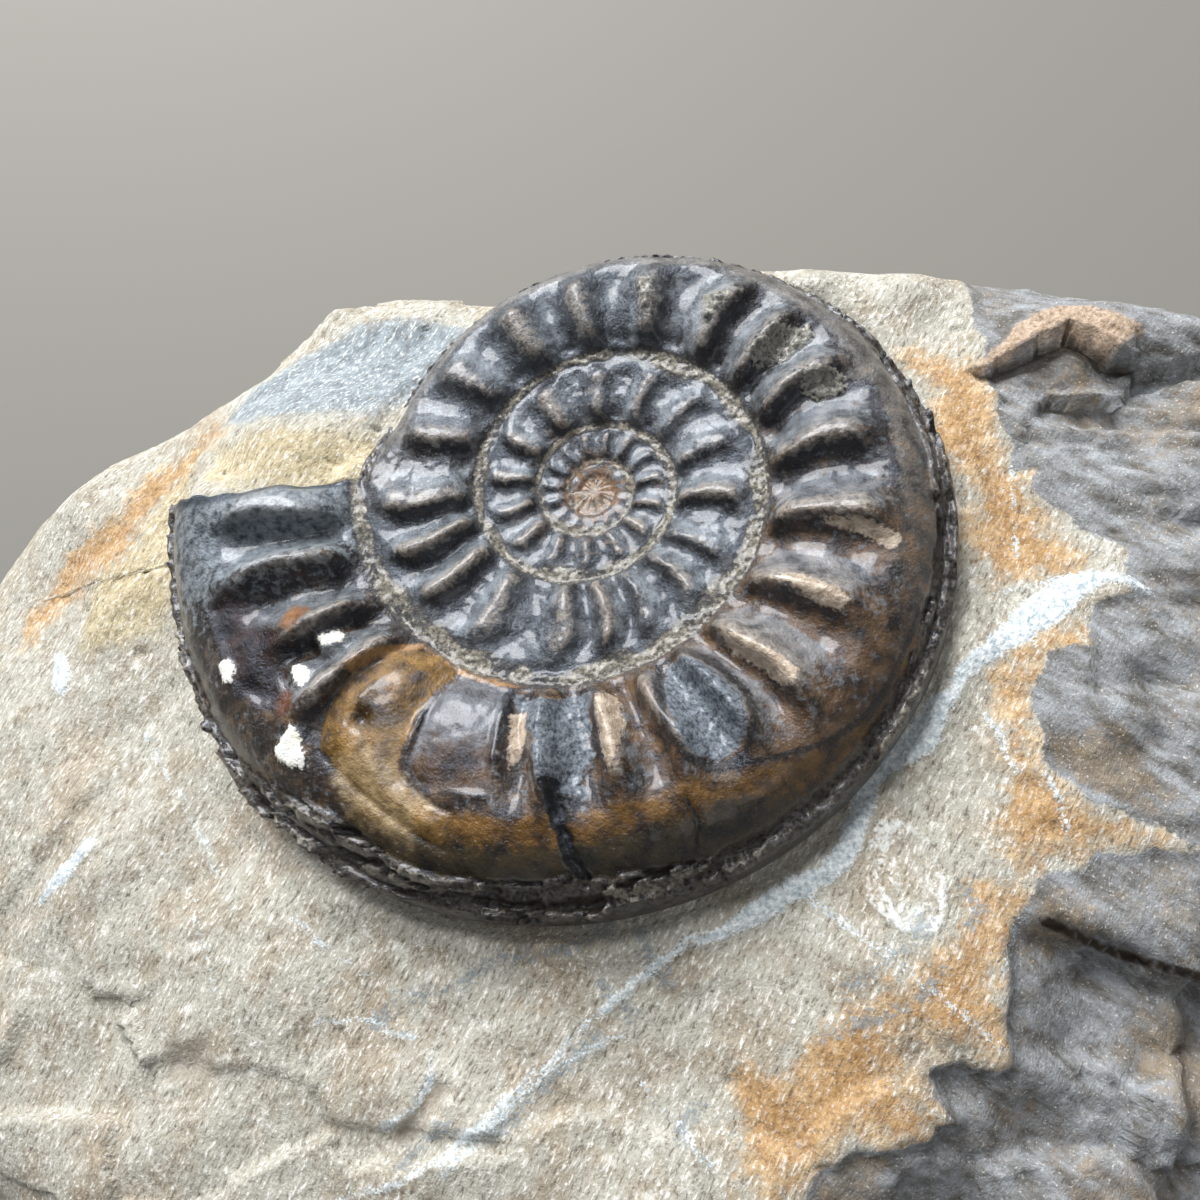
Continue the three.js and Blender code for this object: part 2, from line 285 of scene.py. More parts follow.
def ribAt(back):  # 1 on a rib's crest, falling to 0 in the hollow between two
    crests = ribCrests()
    widths = np.array([shell["broadRibs"].get(int(c), shell["ribWidth"]) for c in crests])
    strengths = 0.95 + 0.1 * np.sin(crests * 1.7)
    strengths[crests > 360] += 0.16 * np.sin(crests[crests > 360] * 0.73)
    i = np.clip(np.searchsorted(crests, back) - 1, 0, len(crests) - 2)
    place = (back - crests[i]) / (crests[i + 1] - crests[i])
    skew = shell["ribSkew"] * np.cos(np.radians(shell["mouthAngle"] + back))
    near = strengths[i] * np.exp(-((place / (widths[i] * (1 + skew))) ** 2))
    far = strengths[i + 1] * np.exp(-(((1 - place) / (widths[i + 1] * (1 - skew))) ** 2))
    return np.maximum(near, far) + 0.3 * np.minimum(near, far)


def drawnIn(back):  # mm by which the last whorl's outer edge is nearer than its spiral
    return 0.9 * bump(back - 250, 70) - 0.5 * bump(back - 45, 30)


def keelRadius(angle):  # of that edge, round the axis from +X in degrees
    back = np.mod(angle - shell["mouthAngle"], 360)
    return shell["seamRadius"] * shell["growthPerTurn"] ** (1 - back / 360) - drawnIn(back)


def shellSurface(back, across):  # places and masks of the upper side
    growth = shell["growthPerTurn"]
    inner = shell["seamRadius"] * growth ** (-back / 360)
    width = inner * (growth - 1)
    last = back < 359.99  # the outermost turn

    def onLast(values, elsewhere=-2):
        return np.where(last, values, elsewhere)

    emerging = smooth(360 - back, 0, 25)
    section = (
        curveThrough(shell["lastSection"], across) * emerging
        + curveThrough(shell["innerSection"], across) * (1 - emerging))
    lean = shell["ribLean"] * np.sin(np.pi * across)
    angle = np.radians(shell["mouthAngle"] + back + lean)
    radius = inner + (width - onLast(drawnIn(back), 0)) * across
    x = radius * np.cos(angle)
    y = radius * np.sin(angle)
    flat = flatPoints(x, y)

    # ribs, each a little uneven, ending in a low node
    ribEnd = 0.61 + 0.08 * smooth(back, 98, 125) + 0.03 * noiseAt(flat, 4, 3)
    ribEnd = emerging * ribEnd + (1 - emerging) * 0.86
    ribbed = smooth(across, 0.015, 0.12) * (1 - smooth(across, ribEnd - 0.24, ribEnd + 0.03))
    straighter = 5.5 * (1 - smooth(back, 30, 60)) * np.sin(np.pi * across)
    wavering = back + straighter + 1.2 * noiseAt(flat, 2.5, 9)
    rib = ribAt(wavering)
    rise = (ribAt(wavering + 1.5) - ribAt(wavering - 1.5)) * np.cos(angle)  # above 0 where it faces -Y, away from the key light; it places the painted shade and painted sheen on the ribs
    node = 0.08 * bump(across - ribEnd + 0.2, 0.08)
    inside = {name: onLast(insideOutline(x, y, flank[name])) for name in (
        "amber", "chamber", "wine", "paleBase", "redGlow", "amberSpot")}
    amber = inside["amber"]
    chamber = inside["chamber"]
    wine = inside["wine"]
    window = smooth(np.maximum(amber, chamber), -0.3, 0.3)
    below = smooth(across, 0.42, 0.55) * smooth(back, 44, 50) * (1 - smooth(back, 72, 79))
    window = onLast(np.maximum(window, below), window)
    chalk = onLast(insideAny(x, y, flank["chalkSpots"]))
    relief = ribbed * ((1 + node) * rib - 0.56)
    relief = relief * (1 - window) - 0.12 * window * ribbed
    relief *= 1 - 0.75 * smooth(wine, -0.5, 1.2)
    relief *= 1 - 0.8 * smooth(chalk, -0.7, 0.2)
    relief *= smooth(radius, 1.3, 2.7)
    height = (section + shell["ribHeight"] * relief) * width
    crest = ribbed * rib * (1 - window)

    # slow unevenness and the worn surface
    scale = np.clip(width / shell["widthAtMouth"], 0.12, 1)
    clear = smooth(across, 0, 0.04) * (1 - smooth(across, 0.96, 1))  # of the seams
    height += scale * clear * (0.16 * noiseAt(flat, 3.2, 1) + 0.06 * noiseAt(flat, 0.9, 5))
    rough = 0.5 + 0.5 * noiseAt(flat, 2.2, 14) + 0.5 * (1 - emerging)
    height += clear * 0.055 * np.sqrt(scale) * rough * fractalAt(flat, 0.45, 3, 2)
    height += clear * (1 - emerging) * 0.14 * np.sqrt(scale) * fractalAt(flat, 1.1, 3, 2.7)

    # patches with an edge of their own
    slatePatch = insideOutline(x, y, flank["slatePatch"]) + 0.1 * noiseAt(flat, 0.6, 19)
    slateBand = insideOutline(x, y, flank["slateBand"]) - 0.1 + 0.7 * noiseAt(flat, 0.9, 19)
    slate = onLast(np.maximum(slatePatch, slateBand))
    crack = 0.4 + 0.3 * noiseAt(flat, 0.6, 20) - fromLine(x, y, flank["slateCrack"])
    tops = onLast(insideAny(x, y, flank["roughTops"]))
    onSlate = smooth(slate, -0.08, 0.1)
    onTops = smooth(tops, -0.1, 0.3)
    coarse = fractalAt(flat, 0.5, 3, 7)
    height += onSlate * (0.1 + 0.16 * coarse) + onTops * (0.2 + 0.3 * coarse)
    height -= smooth(crack, -0.1, 0.3) * (0.3 - 0.3 * coarse)
    height += 0.45 * smooth(amber, 0, 1.6) + 0.2 * smooth(chamber, -0.4, 1.2)
    height -= 0.16 * bump(amber, 0.16) + 0.08 * bump(chamber, 0.14)
    height += 0.16 * bump(fromLine(x, y, flank["orangeRim"]), 0.28)
    height -= 0.5 * bump(np.hypot(x - flank["pit"][0], y - flank["pit"][1]), 0.45)
    fine = fromLine(x, y, flank["fineCrack"])
    height -= 0.25 * bump(fine, 0.1)
    height -= 0.35 * smooth(wine, 0, 0.8) * (0.6 + 0.5 * noiseAt(flat, 1.2, 4))
    height += 0.12 * smooth(chalk, 0, 0.3)

    # thin flakes and a rope-like keel along the outer edge
    alongEdge = radius * np.radians(back)
    unrolled = flatPoints(alongEdge, across * width)
    flakyFrom = shell["keelFrom"] - 0.14 * bump(back - 56, 11) - 0.085 * bump(back - 86, 20)
    flakyFrom -= 0.03 * bump(back - 30, 18) + 0.045 * bump(back - 190, 55)
    flakyEdge = across - flakyFrom - 0.018 * noiseAt(flat, 1.1, 15) - 0.008 * noiseAt(flat, 0.4, 16)
    flaky = onLast(smooth(flakyEdge, -0.004, 0.014), 0)
    broad = smooth(shell["keelFrom"] - flakyFrom, 0.01, 0.06)
    plates = platesAt(unrolled * [0.34, 1.5, 1] + 0.35 * noiseAt(flat, 1, 17)[:, None], 0.8, 3)
    fade = (1 - smooth(across, 0.975, 1)) * (1 - 0.8 * smooth(back, 235, 265))
    height += flaky * fade * ((0.18 + 0.6 * broad) * plates + 0.16 * coarse + 0.25 * broad)
    notches = np.sin(alongEdge * 3.1 + 5 * across + 5 * noiseAt(flat, 1.7, 8))
    height += flaky * (1 - broad) * bump(across - 0.955, 0.03) * (0.03 * notches + 0.14 * coarse)
    ragged = onLast(smooth(across, 0.9, 1), 0) * 0.05 * (plates + coarse) * fade

    # gritty sediment packed into the seams, at one level on both sides of each
    outerSize = np.sqrt(np.clip(width * growth / shell["widthAtMouth"], 0.1, 1))
    innerSize = np.sqrt(np.clip(width / shell["widthAtMouth"], 0.1, 1))
    fromOuter = onLast(9, (1 - across) * width)
    fromInner = across * width
    around = np.mod(back, 360)
    spread = 0.95 + 0.35 * bump(around - 130, 80) - 0.3 * bump(around - 300, 60)
    spread = np.clip(spread + 1.2 * noiseAt(flat, 2.3, 2.5) + 0.5 * noiseAt(flat, 0.8, 2.6), 0.12, 2)
    onRing = 1 - smooth(fromOuter, 0.35 * spread * outerSize, 0.85 * spread * outerSize)
    onWall = 1 - smooth(fromInner, 0.05, 0.55 * innerSize)
    grit = 0.13 * fractalAt(flat, 0.3, 3, 6) + 0.2 * noiseAt(flat, 1.3, 6.5)
    ringLevel = shell["seamHeight"] * growth * width + (0.2 + grit) * outerSize - 0.08 * fromOuter
    wallLevel = shell["seamHeight"] * width + (0.2 + grit) * innerSize + 0.1 * fromInner
    height = np.maximum(height, ringLevel) * onRing + height * (1 - onRing)
    height = np.maximum(height, wallLevel) * onWall + height * (1 - onWall)
    silt = np.maximum(onRing, onWall) * (0.9 + 0.9 * noiseAt(flat, 1.4, 6.7))

    # the broken mouth is ragged, and the edge is chipped
    broken = 1 - smooth(back, 0, 5)
    wander = broken * (1.6 * noiseAt(flat, 1.6, 12) + 0.8) * smooth(across, 0, 0.05)
    turned = angle + np.radians(wander)
    radius = radius + ragged * smooth(back, 0, 3)
    points = np.column_stack([radius * np.cos(turned), radius * np.sin(turned), height])

    # masks for the material
    size = 13  # mm across the flank there
    venterDepth = onLast((across - 0.555 - 0.29 * smooth(back, 104, 140)) * size)
    venter = np.minimum(venterDepth, (0.93 - across) * size)
    venter = np.minimum(venter, np.minimum(back - 58, 152 - back) * 0.25)
    edging = bump(slate + 0.3, 0.28) + 0.7 * bump(chamber + 0.1, 0.1)
    edging += bump(venterDepth + 0.22, 0.22) * (venter > -0.6) * smooth(back, 100, 118)
    # painted shade in the hollows between ribs, stronger on the inner whorls
    hollow = onLast(0.05, 0.3) * (1 - smooth(rib, 0.05, 0.5))
    shoulder = smooth(across, 0.6, 0.72) * (1 - smooth(across, 0.86, 0.9)) * smooth(back, 135, 165)
    masks = {
        "crest": crest * smooth(radius, 1.6, 3.2),
        "warm": bump(back - 128, 52) + 0.4 * bump(back - 45, 30),
        "cool": np.clip(bump(back - 285, 55) + smooth(back, 350, 380) * 0.7, 0, 1),
        "olive": smooth(venterDepth, 0.7, 2.3) * (venter > 0),
        "edging": onLast(edging, 0),
        "mouth": 1 - smooth(back, 8, 26),
        # painted shade darkening the last few degrees at the broken mouth's edge
        "mouthEdgeShade": 1 - smooth(back, 0.4, 3.2),
        # painted shade: near-black on rib slopes that face -Y, away from the key light, and in the hollows
        # between ribs
        "dark": ribbed * (1 - window) * (smooth(rise, 0.16, 0.6) + hollow),
        # painted sheen: pale silvery highlight on rib slopes that face +Y, towards the key light
        "paintedSheen": ribbed * smooth(-rise, 0.02, 0.16) * (1 - window),
        "shoulder": onLast(shoulder, 0),
        "chamberLow": smooth(-y, 12.3, 15.6) + 0.3 * noiseAt(flat, 1, 61),
        "amberDark": 0.45 + 1.5 * noiseAt(flat, 1.5, 60) - 0.6 * smooth(-y, 14.5, 16.5),
        "flake": flaky * (0.5 + plates + 0.4 * coarse),
        "venter": venter,
        "slate": slate,
        "gritTop": tops,
        "pale": onLast(insideAny(x, y, flank["paleRibs"])),
        "chalk": chalk,
        "rim": onLast(0.3 - fromLine(x, y, flank["orangeRim"])),
        "crack": np.maximum(0.09 - fine, onLast(crack)),
        "silt": silt,
        "rust": 1.1 * bump(radius, 2.3) + 0.4 * bump(radius - 4, 1.2),
        "flaky": flaky,
    }
    masks["chamberLow"] *= smooth(chamber, -0.1, 0.2)
    masks["amberDark"] *= smooth(amber, 0, 0.4)
    masks.update(inside)
    return points, masks


def makeTurn(number):  # one turn of the strip, from a grid
    steps = shell["steps"] // 2 ** number
    rows = shell["rows"] // 2 ** number
    bpy.ops.mesh.primitive_grid_add(x_subdivisions=steps, y_subdivisions=rows, size=1)
    turn = bpy.context.object
    grid = placesOf(turn)
    step = np.rint((grid[:, 0] + 0.5) * steps)
    row = np.rint((grid[:, 1] + 0.5) * rows)
    # where the next turn in has half as many points, every other one joins its neighbour
    if number < shell["turns"] - 1:
        step = np.where((row == 0) & (step % 2 == 1), step - 1, step)
        row = np.where((step == steps) & (row % 2 == 1), row - 1, row)
    points, masks = shellSurface(360 * number + 360 * step / steps, row / rows)
    placeVertices(turn, points)
    for name, values in masks.items():
        storeMask(turn, name, np.clip(values, -2, 2))
    storeMask(turn, "alongTurn", 360 * number + 360 * step / steps)
    storeMask(turn, "acrossTurn", row / rows)
    return turn


def makeShell():
    deselectAll()
    turns = [makeTurn(number) for number in range(shell["turns"])]
    makeActive(turns[0])
    for turn in turns:
        turn.select_set(True)
    bpy.ops.object.join()
    piece = bpy.context.object
    piece.name = "ribbed_shell"
    mergeDoubles(0.004)
    closeCentre(piece)
    closeBelow(piece)
    turnOutwards()
    return piece


def selectOpenEdge(piece, nearest, furthest):  # its part between two distances from the axis, in mm
    switchTo("EDIT")
    bpy.ops.mesh.select_all(action="DESELECT")
    bpy.ops.mesh.select_non_manifold(extend=False, use_wire=False, use_multi_face=False,
                                     use_non_contiguous=False, use_verts=False)
    switchTo("OBJECT")
    fromAxis = np.hypot(*(placesOf(piece) / mm - axisPlace).T[:2])
    wanted = (fromAxis > nearest) & (fromAxis < furthest)
    vertices = piece.data.vertices
    for vertex in vertices:
        vertex.select = vertex.select and bool(wanted[vertex.index])
    for edge in piece.data.edges:
        edge.select = edge.select and all(vertices[v].select for v in edge.vertices)
    switchTo("EDIT")


def closeCentre(piece):  # the smallest whorl's hole becomes a low knob
    smallest = shell["seamRadius"] * shell["growthPerTurn"] ** (-(shell["turns"] - 1))
    selectOpenEdge(piece, 0, smallest * 1.1)
    bpy.ops.mesh.extrude_region_move()
    bpy.ops.transform.resize(value=(0.5, 0.5, 1), center_override=tuple(axisPlace * mm))
    bpy.ops.transform.translate(value=(0, 0, 0.12 * mm))
    bpy.ops.mesh.extrude_region_move()
    bpy.ops.mesh.merge(type="CENTER")
    switchTo("OBJECT")


def closeBelow(piece):  # the buried side: the edge drawn down and in, then closed
    selectOpenEdge(piece, shell["openFrom"], math.inf)
    last = 0.0
    for share, height in shell["skirt"]:
        bpy.ops.mesh.extrude_region_move()
        bpy.ops.transform.resize(value=(share, share, 0.15 if last == 0 else 1),
                                 center_override=tuple((axisPlace + [0, 0, last]) * mm))
        bpy.ops.transform.translate(value=(0, 0, (height - last) * mm))
        last = height
    bpy.ops.mesh.extrude_region_move()
    bpy.ops.mesh.merge(type="CENTER")
    switchTo("OBJECT")


# the stone, from a sheet wrapped round: its rows run from the top, over the edge, to the flat spot

stone = {
    "shellAboveBase": 30.0,
    "baseCentre": (-5.0, -11.0),
    "widestDepth": 11,
    "edgeSharpness": 9,  # how late the top turns down into the sides
    "segments": 720,
    "hiddenRings": 5,  # under the shell
    "topRings": 100,
    "sideRings": 24,
    "outline": [
        (44, -10), (41.5, 4.5), (33.5, 11.5), (25, 14.5), (16, 16.5), (4, 18.5), (-8, 18.5),
        (-17, 20), (-22, 19.5), (-28, 13.5), (-37, 10), (-48, 4), (-55, -8), (-51, -28),
        (-41, -41), (-24, -45), (-4, -45), (16, -43.5), (33, -40), (41, -26),
    ],
    "sideShares": [[11, 1], [14, 0.985], [18, 0.93], [22, 0.85], [26, 0.71], [28.6, 0.54], [30, 0.44]],
    # where the pale skin has come off the darker rock
    "bared": [
        (21, 25), (21, 5.7), (21.2, 3.5), (21.4, 1.3), (21.5, -0.3), (22.9, -0.5), (22.3, -1.4),
        (23.4, -2.8), (24.1, -4), (25.7, -5.3), (25.9, -7.4), (23.9, -7.9), (23.6, -9.8), (21.7, -10),
        (21.1, -11.2), (20.7, -13.2), (20.8, -15.1), (21.7, -16), (22.3, -17), (23.9, -17.6),
        (26.7, -18.8), (26.7, -19.2), (22.4, -19), (21.8, -19.6), (19.7, -20.2), (19, -21.2),
        (18.6, -22.9), (18.1, -24.2), (17.9, -25.3), (17.7, -27.7), (16, -27.7), (14.4, -28),
        (14.9, -29.3), (15.6, -30.1), (14.1, -30.9), (11, -31.4), (9.6, -32.4), (6.5, -38), (4, -48),
        (60, -48), (60, 25)],
    "skinThickness": 1.4,
    "bankHeight": 4.2,  # of the pale bank behind the shell's mouth
    "underKeel": 0.8,  # how far the visible stone reaches in under the shell's edge
    "ledges": [
        [(21, -22.6), (-0.35, -0.94), 2.2],
        [(31, -4), (0.97, -0.25), 2.0],
        [(26, 2.5), (-0.25, -0.97), -1.6],
    ],
    "middle": (-5.0, -11.0, -14.0),
    "brokenFaces": [
        [(1, 0.15, -0.35), 43], [(0.85, -0.55, -0.2), 44], [(0.75, 0.6, 0.1), 41.5],
        [(0.2, 1, -0.4), 29], [(-0.5, 0.85, -0.25), 35], [(-0.9, 0.35, 0.25), 44],
        [(-0.9, -0.45, -0.15), 46.5], [(-0.55, -0.8, -0.45), 38], [(0.1, -1, -0.3), 31],
        [(0.5, -0.8, 0.35), 38], [(0.6, -0.2, -0.8), 30], [(-0.5, -0.35, -0.8), 30],
        [(-0.45, 0.4, -0.8), 25], [(0.3, 0.5, -0.8), 23.5], [(0.1, -0.6, -0.8), 27],
    ],
    "vein": [  # x, y, half its breadth
        (26.6, -7.4, 0.15), (25, -6.6, 0.35), (23.3, -7, 0.75), (21.7, -8.1, 0.7), (19.6, -9.9, 0.5),
        (17.6, -11.2, 0.45), (16.3, -12.3, 0.5), (15.3, -13.9, 0.65), (13.6, -15.8, 0.6),
        (12.6, -17.6, 0.55), (11.4, -19.3, 0.5), (10, -20.4, 0.45), (8.1, -21.4, 0.45),
        (5.8, -22.6, 0.3), (3.4, -23.8, 0.2), (0.5, -25.7, 0.2), (-1, -27.1, 0.1), (-4.2, -30, 0.16),
        (-7.5, -33, 0.2), (-11.2, -34.5, 0.12), (-16, -36.5, 0.05)],
    # thin pale lines
    "strands": [
        [(24.3, -6.2), (22.7, -6.4), (20.4, -7), (19.4, -7.2)],
        [(21.6, -0.2), (21.4, -1.8), (21.4, -3), (21.1, -4.9)],
        [(1.2, -27.1), (-2.4, -28.9), (-4.9, -31), (-7.7, -33.7)],
        [(10.2, -21.2), (11.4, -22.2), (12.9, -23.3), (15.6, -25.3), (17.5, -27.2)],
        [(18.6, -13), (19.2, -14), (19.3, -15.1), (19.7, -15.7)],
        [(20.8, -15.8), (21.2, -16.8), (21.3, -18.2)],
        [(18.7, -21.8), (18.5, -22.8), (17.9, -24.2)],
        [(1.6, -29), (2.3, -30.1), (3.8, -31.2), (5, -32.5)],
        [(-28.3, -11.9), (-26.1, -14.6), (-24.5, -16.1), (-22.7, -18.8), (-21.8, -20.4)],
        [(-22.9, -21.5), (-21.5, -24.5), (-21, -25.9)],
        [(-16.5, -22.2), (-13.8, -23.9), (-11.7, -25.4)],
        [(-14.7, -27.1), (-11.9, -27), (-10.7, -27.6), (-9.5, -27.7)],
        [(-8.6, -28.4), (-8.6, -29.7), (-9.3, -30.9), (-11.3, -31.9)],
    ],
    "calcitePatches": [
        [(-36.3, -6.5), (-35.1, -6.9), (-34.1, -8.6), (-34.4, -9.9), (-35.5, -9.1)],
        [(-30.3, -17.9), (-29.6, -18.3), (-31.4, -20.4), (-33.6, -21.8), (-34.3, -21.8),
         (-32.3, -19.6)],
    ],
    "swirl": {"centre": (14.3, -20.1), "halfSize": (1.6, 2.1)},
    "darkStreaks": [
        [(-11.5, -27.1), (-10.3, -26.1), (-7.3, -25.3), (-6.2, -24.5), (-2.5, -23.6), (0.5, -22.7)],
        [(2.2, -22.6), (3.1, -25)],
        [(0, -24.8), (1.6, -26.3)],
        [(-10, -33.2), (-8.3, -32), (-4.8, -31.6), (-2.9, -29.7), (-0.4, -27.6)],
        [(3.6, -31.2), (4.6, -29.8)],
        [(16.7, -20.8), (17.4, -21.3), (16.5, -22.3)],
        [(11.5, -24.9), (12.8, -23.9), (13.7, -22.9), (15, -21.8)],
        [(10.5, -27.2), (12.6, -26), (14.6, -25), (15.5, -24.2)],
    ],
    "ochre": [
        [(17, 7.5), (19.1, 7.1), (21, 5.5), (21.4, -0.4), (22.9, -0.6), (22.3, -1.5), (24.3, -5.6),
         (24.2, -6.1), (22.2, -6.1), (19.6, -7.2), (18.8, -6), (18.8, -1.7), (17.8, 2.8)],
        [(23.4, -8), (23.5, -9.6), (21.7, -9.9), (20.9, -11.5), (20.4, -14.7), (20.7, -15.3),
         (22.2, -17.2), (25.5, -18.3), (25.5, -19), (22.3, -19), (19.6, -19.4), (18.6, -17.8),
         (19.6, -16.3), (19.3, -12.7), (19.6, -10.5), (21.7, -8.8)],
        [(19.1, -20), (19, -21.1), (17.9, -23.5), (17.7, -27.6), (16.3, -27.3), (13.4, -26),
         (13.6, -27.8), (14.7, -29.5), (16.7, -30.3), (11, -31.3), (8.7, -33.3), (6.2, -33.4),
         (6.4, -28.5), (8.7, -28.4), (10.8, -26.5), (13.5, -24.5), (15.8, -22.6), (17.2, -20)],
        [(-22.6, 6), (-25.4, 7.6), (-31.2, 5.4), (-33, 2.1), (-37.2, 0.6), (-39.7, -3.9), (-39, -6.3),
         (-35.7, -3), (-31.7, -0.9), (-29.7, 2.7), (-26.8, 5.9)],
    ],
    "cream": [
        [(-23.5, 2.2), (-23.7, 5.2), (-19.9, 4.7), (-11, 4.7), (-11.8, 1.2), (-17.1, 0.5)],
        [(-27.1, 7), (-25.5, 2.4), (-25.8, -1.9), (-28, -6.1), (-33.8, -6.8), (-34.1, -2.5),
         (-30.2, 0.2), (-29.2, 3.9)],
    ],
    "bluish": [
        (-24.3, 7.6), (-22.2, 11.5), (-18, 14), (-14, 15), (-9, 13.4), (-8, 10.7), (-12.1, 6.4),
        (-17.1, 5.9), (-21.5, 6.2)],
    "scar": [
        (-8.6, -29.3), (-7.2, -29.9), (-7.9, -30.8), (-9.2, -32.5), (-10.6, -32.8), (-10.7, -31.9),
        (-9.3, -31)],
    "leftCrack": [(-38, -24), (-36.1, -21.6), (-33.9, -18.8), (-32.3, -16.5), (-29.8, -15.1)],
    "notch": [(-24.5, -28.5), (-20.8, -28), (-20.6, -30.4), (-24.1, -30.8)],
    "darkSplit": [(20, -22), (20.7, -22.3), (21.7, -22.8), (23.2, -23.4), (25.7, -24.1), (29, -25.4)],
    "overhang": [(20.6, 5.5), (22, 5.9), (23.5, 6.5), (25.3, 7.3), (26.2, 6.8), (27, 5.9), (28.5, 5)],
    "tanLedge": [
        (20.4, 5.4), (21.4, 6.6), (23.1, 7.6), (24.9, 8.4), (26.5, 8.3), (27.6, 7.7), (28.5, 7),
        (27.1, 5.6), (26.2, 6.6), (25, 7.1), (23.3, 6.3), (21.6, 5.7)],
    "lumps": [
        (12.6, 12.4, 1.6, 0.6), (17.6, 11.6, 2.2, 1.0), (33.0, 4.5, 5.0, 1.4), (-24.0, 11.0, 5.0, 0.8),
        (-19.5, 17.4, 2.6, 1.2), (-36.0, 5.6, 4.0, 1.2),
    ],
}


def outlineRadius(angles):  # of the stone's outline, round the shell's axis
    path = []
    corners = stone["outline"]
    for (ax, ay), (bx, by) in zip(corners, corners[1:] + corners[:1]):
        path += [(ax + (bx - ax) * s, ay + (by - ay) * s) for s in np.arange(0, 1, 0.05)]
    x, y = np.array(path).T
    around = np.mod(np.arctan2(y, x), 2 * np.pi)
    order = np.argsort(around)
    return np.interp(np.mod(angles, 2 * np.pi), around[order], np.hypot(x, y)[order], period=2 * np.pi)


def swell(x, y, z):
    slow = np.sin(x * 0.19 + y * 0.11 + 1.3) * np.cos(y * 0.23 - z * 0.17)
    return slow + 0.6 * np.sin(x * 0.41 - y * 0.33 + z * 0.29 + 0.4)


def hackle(x, y, z):
    a = x * 0.16 + y * 0.07 - z * 0.12
    b = y * 0.19 - x * 0.08 + z * 0.23
    return 1 - np.abs(np.sin(a + 0.7 * np.sin(b))) - np.abs(np.cos(b * 1.7 + a))


def bankAt(x, y):  # the pale bank behind the mouth
    radius = np.hypot(x, y)
    breadth = shell["seamRadius"] * (shell["growthPerTurn"] - 1)
    across = np.clip((radius - shell["seamRadius"]) / breadth, 0, 1)
    mouth = np.radians(shell["mouthAngle"] + shell["ribLean"] * np.sin(np.pi * across))
    fromMouth = mouth - np.mod(np.arctan2(y, x), 2 * np.pi)
    behind = radius * np.sin(np.clip(fromMouth, -0.3, 1.5))
    mouthTop = 0.95 * breadth * curveThrough(shell["lastSection"], across)
    mouthTop -= 1.3 * smooth(across, 0.02, 0.15) * (1 - smooth(across, 0.5, 0.62))
    level = stone["bankHeight"] * (0.5 + 0.5 * smooth(radius, 13, 19))
    level *= 1 - 0.8 * smooth(radius, 19, 28)
    level *= 1 - smooth(radius, 27, 34)
    away = smooth(behind, 0.4, 3.0 + 0.5 * np.clip(radius - 22, 0, 20))
    level = mouthTop * (1 - away) + level * away
    return level * smooth(behind, -1.2, -0.6) * (1 - smooth(behind, 3.5, 12.5))


